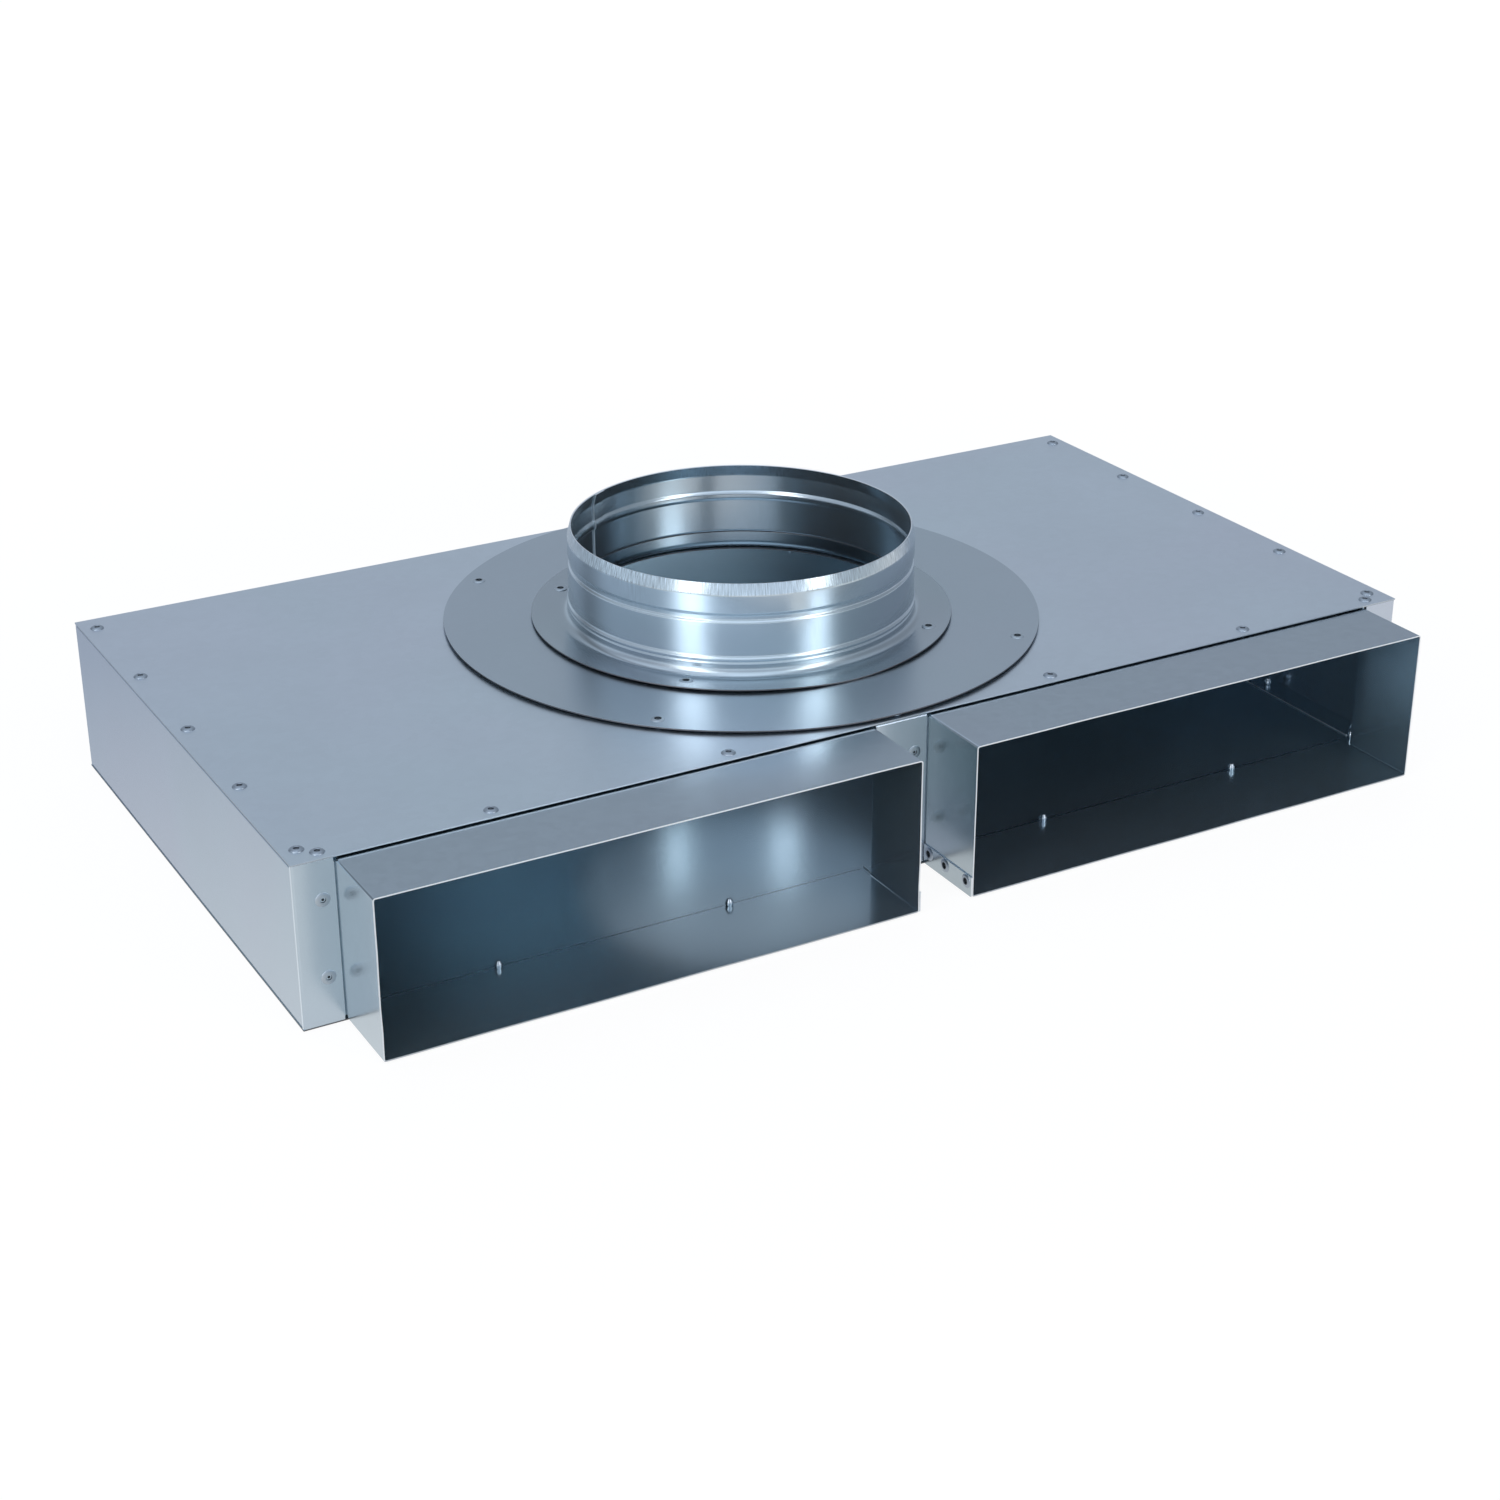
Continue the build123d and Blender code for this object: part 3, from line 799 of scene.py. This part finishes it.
def makeDisc(v):
    bm = bmesh.new()
    bmesh.ops.create_circle(bm, segments=v["steps"], radius=v["rings"][0])
    rim = bm.edges[:]
    for inner, outer in zip(v["rings"], v["rings"][1:]):
        rim = pushOut(bm, rim, (0, 0, 0))
        verts = list({vert for e in rim for vert in e.verts})
        bmesh.ops.scale(bm, vec=(outer / inner, outer / inner, 1), verts=verts)
    for vert in bm.verts:
        angle = degrees(atan2(vert.co.y, vert.co.x))
        vert.co.z = v["base"] + discLift(hypot(vert.co.x, vert.co.y), angle)
    bmesh.ops.recalc_face_normals(bm, faces=bm.faces)
    if bm.faces[0].normal.z < 0:
        bmesh.ops.reverse_faces(bm, faces=bm.faces)
    # the disc's cut edge is dark: painted shade of the gap under its rim
    piece = newPiece("lidDisc", bm, "cover_disc", ["discZinc", "paintedShadeEdge"])
    thicken(piece, v["thickness"], 1)


def makeCollarRing(v):
    bm = bmesh.new()
    foot = v["neck"] + v["bend"]
    level = coverDisc["base"] + coverDisc["thickness"] + v["gap"]
    points = [(v["neck"], 0, v["neckTop"]), (v["neck"], 0, level), (foot + v["footFlat"], 0, level)]
    points += [(r, 0, level) for r in v["rings"]]
    verts, _ = wirePath(bm, points)
    roundCorners(bm, [verts[1]], v["bend"], v["bendSteps"])
    spinAll(bm, v["steps"])
    for vert in bm.verts:
        radius = hypot(vert.co.x, vert.co.y)
        angle = degrees(atan2(vert.co.y, vert.co.x))
        if radius > foot - v["neckZone"]:
            vert.co.z += discLift(radius, angle) + ringLift(radius, angle)
    bmesh.ops.recalc_face_normals(bm, faces=bm.faces)
    outermost = max(bm.faces, key=lambda f: f.calc_center_median().length)
    if outermost.normal.z < 0:
        bmesh.ops.reverse_faces(bm, faces=bm.faces)
    # the ring's cut edge is dark: painted shade of the gap under its rim
    piece = newPiece("collarRing", bm, "collar_flange", ["ringZinc", "paintedShadeEdge"])
    thicken(piece, v["thickness"], 1)


makeDisc(coverDisc)
makeCollarRing(collarRing)
print("disc and collar ring made")


# round collar

roundCollar = {
    "thickness": 0.8, "steps": 192, "lapSteps": 4, "roundSteps": 4,
    # outside of the sheet from its foot to its rim: radius, height, rounding
    "outline": (
        (102.5, 101.3, 0), (103.0, 102.2, 0.5), (102.3, 103.3, 0.5), (103.1, 104.5, 0.6),
        (103.0, 105.2, 0.4), (102.0, 106.5, 0.6),
        (102.0, 126.6, 0.5), (100.9, 127.9, 0.6), (100.9, 130.6, 0.6), (102.0, 132.2, 0.5),
        (102.0, 142.8, 0.7), (100.4, 148.8, 0.8), (100.2, 149.5, 0),
    ),
    "wallFrom": 6,           # first point of the straight wall in the outline
    "lapAngle": 120, "lapWidth": 9, "lapFoot": 107.3, "lapGap": 0.9,
}


def collarProfile(bm, points, steps):
    verts, _ = wirePath(bm, [(radius, 0, height) for radius, height, _ in points])
    for vert, (_, _, rounding) in zip(verts, points):
        if rounding:
            roundCorners(bm, [vert], rounding, steps)


def outwards(bm):
    bmesh.ops.recalc_face_normals(bm, faces=bm.faces)
    broad = max(bm.faces, key=lambda face: face.calc_area())
    if broad.normal.xy.dot(broad.calc_center_median().xy) < 0:
        bmesh.ops.reverse_faces(bm, faces=bm.faces)


def makeCollar(v):
    bm = bmesh.new()
    collarProfile(bm, v["outline"], v["roundSteps"])
    spinAll(bm, v["steps"])
    outwards(bm)
    # the end of the strip laps inside
    lap = bmesh.new()
    wall = v["outline"][v["wallFrom"]:]
    inner = [(radius - v["lapGap"], height, rounding) for radius, height, rounding in wall]
    foot = (inner[0][0], v["lapFoot"], 0)
    collarProfile(lap, [foot] + inner, v["roundSteps"])
    width = degrees(v["lapWidth"] / inner[0][0])
    spinAll(lap, v["lapSteps"], radians(width))
    outwards(lap)
    bmesh.ops.rotate(lap, verts=lap.verts, cent=(0, 0, 0),
                     matrix=Matrix.Rotation(radians(v["lapAngle"] - width / 2), 3, "Z"))
    spare = bpy.data.meshes.new("lap")
    lap.to_mesh(spare)
    lap.free()
    bm.from_mesh(spare)
    bpy.data.meshes.remove(spare)
    piece = newPiece("roundCollar", bm, "collar", ["collarZinc", "cutEdgeHighlight"])
    thicken(piece, v["thickness"], -1)


makeCollar(roundCollar)
print("collar made")


# rivets

rivet = {
    "steps": 20,
    # radius and height from the mandrel stub over the dome to the set end
    "stub": ((0, 0.55), (0.75, 0.5), (0.95, 0.25), (0.95, -0.1)),
    "recess": ((1.35, -0.1), (1.5, 0.85)),
    "dome": ((1.8, 1.08), (2.3, 1.1), (2.95, 0.9), (3.5, 0.6), (3.85, 0.28), (4.0, 0.0), (2.0, 0.0)),
    "flatDome": ((1.6, 0.62), (2.1, 0.64), (2.9, 0.55), (3.5, 0.38), (3.85, 0.2), (4.0, 0.0), (2.0, 0.0)),
    "coreReach": 1.44, "holeShadeReach": 2.2,     # radius of the dark middle, painted shade of the mandrel hole
    "flatDrop": 0.45,        # how much lower the middle of a flush head lies
    "turn": 1.3,             # radians from one rivet of a row to the next
    "tail": ((1.9, 0.0), (2.15, -0.6), (2.25, -2.0), (1.95, -3.2), (1.4, -3.9), (1.25, -4.6), (0.6, -4.8),
             (0, -4.8)),
}


def rivetTemplate(name, v, grip, flat, dark):
    bm = bmesh.new()
    low = v["flatDrop"] if flat else 0.0
    crown = [(r, z - low if z > 0.2 else z) for r, z in v["stub"] + v["recess"]]
    head = crown + list(v["flatDome"] if flat else v["dome"])
    tail = [(r, z - grip) for r, z in v["tail"]] if grip else [(0, 0)]
    wirePath(bm, [(r, 0, z) for r, z in head + tail])
    spinAll(bm, v["steps"])
    bmesh.ops.recalc_face_normals(bm, faces=bm.faces)
    for face in bm.faces:
        spot = face.calc_center_median()
        reach = hypot(spot.x, spot.y)
        # faces near the middle take the dark core: painted shade of the hole
        if spot.z > -0.2 and reach < v["holeShadeReach" if dark else "coreReach"]:
            face.material_index = 1
        elif spot.z < -0.3:
            face.material_index = 2
    mesh = bpy.data.meshes.new(name)
    bm.to_mesh(mesh)
    bm.free()
    return mesh


def makeRivets(name, node, places, grip, flat=False, dark=False):
    template = rivetTemplate(name + "Template", rivet, grip, flat, dark)
    bm = bmesh.new()
    for spin, (place, direction) in enumerate(places):
        before = len(bm.verts)
        bm.from_mesh(template)
        bm.verts.ensure_lookup_table()
        turn = Vector(direction).to_track_quat("Z", "Y").to_matrix().to_4x4()
        turn = turn @ Matrix.Rotation(spin * rivet["turn"], 4, "Z")
        bmesh.ops.transform(bm, matrix=Matrix.Translation(place) @ turn, verts=bm.verts[before:])
    bpy.data.meshes.remove(template)
    head = "flushSteel" if flat and grip else "rivetSteel"
    # the middle of each head is painted dark: painted shade in the mandrel hole
    core = "holeShadeCore" if flat else "shadedMandrelSteel"
    piece = newPiece(name, bm, node, [head, core, "tailSteel"])
    finishMesh(piece, sheetFinish["rivetSharpAngle"])


rivetPlaces = {
    "lidZ": 93.0, "baseZ": 0,
    "frontRowX": (-333, -240.1, -103.25, 0, 103.25, 240.1, 333), "frontRowY": -170.3,
    "sideRowX": 341, "sideRowY": (-163, -81.5, 0, 81.5, 163),
    "columnZ": (27, 70.5), "cornerX": 334.7, "postX": 8.5, "faceY": 178,
    "seamX": 16.2, "seamY": (-184, -200, -221), "seamZ": 8.8,
    "ringAngles": (45, 135, 225, 315), "discRadius": 166, "ringRadius": 113.5,
    # thickness of the sheets that a rivet holds
    "grip": 1.6, "lidFrontGrip": 2.5, "discGrip": 2.4, "ringGrip": 2.8,
}


def rowAcross(z, direction):
    return [((x, rivetPlaces["frontRowY"], z), direction) for x in rivetPlaces["frontRowX"]]


def rowAlong(side, z, direction):
    return [((side * rivetPlaces["sideRowX"], y, z), direction) for y in rivetPlaces["sideRowY"]]


def columns(xs, side):
    spots = [(x, z) for x in xs for z in rivetPlaces["columnZ"]]
    return [((x, side * rivetPlaces["faceY"], z), (0, side, 0)) for x, z in spots]


def seamRow(side):
    x, z = side * rivetPlaces["seamX"], rivetPlaces["seamZ"]
    return [((x, y, z), (-side, 0, 0)) for y in rivetPlaces["seamY"]]


def onRing(radius, heightAt):
    places = []
    for angle in rivetPlaces["ringAngles"]:
        a = radians(angle)
        places.append(((radius * cos(a), radius * sin(a), heightAt(radius, angle)), (0, 0, 1)))
    return places


def discTop(radius, angle):
    return coverDisc["base"] + coverDisc["thickness"] + discLift(radius, angle)


def ringTop(radius, angle):
    return discTop(radius, angle) + collarRing["thickness"] + collarRing["gap"] + ringLift(radius, angle)


def makeAllRivets(v):
    up, down = (0, 0, 1), (0, 0, -1)
    sides = ((-1, "Left", "left"), (1, "Right", "right"))
    for plate, z, direction, frontGrip in (("lid", v["lidZ"], up, v["lidFrontGrip"]),
                                           ("base", v["baseZ"], down, v["grip"])):
        for side, title, word in sides:
            places = rowAlong(side, z, direction)
            makeRivets(f"{plate}Rivets{title}", f"{plate}_rivets_{word}", places, v["grip"])
        makeRivets(plate + "RivetsFront", plate + "_rivets_front", rowAcross(z, direction), frontGrip)
    for side, title, word in sides:
        places = columns((side * v["cornerX"],), -1)
        makeRivets("stripRivets" + title, "strip_rivets_" + word, places, v["grip"], flat=True)
    makeRivets("postRivets", "post_rivets", columns((-v["postX"], v["postX"]), -1), v["grip"], flat=True)
    for side, title, word in sides:
        places = columns((side * v["cornerX"],), 1)
        makeRivets("backRivets" + title, "back_rivets_" + word, places, v["grip"], flat=True)
    for side, title, word in sides:
        makeRivets("seamRivets" + title, "seam_rivets_" + word, seamRow(side), 0, flat=True, dark=True)
    makeRivets("discRivets", "disc_rivets", onRing(v["discRadius"], discTop), v["discGrip"],
               flat=True, dark=True)
    makeRivets("ringRivets", "flange_rivets", onRing(v["ringRadius"], ringTop), v["ringGrip"],
               flat=True, dark=True)


makeAllRivets(rivetPlaces)
print("rivets made")
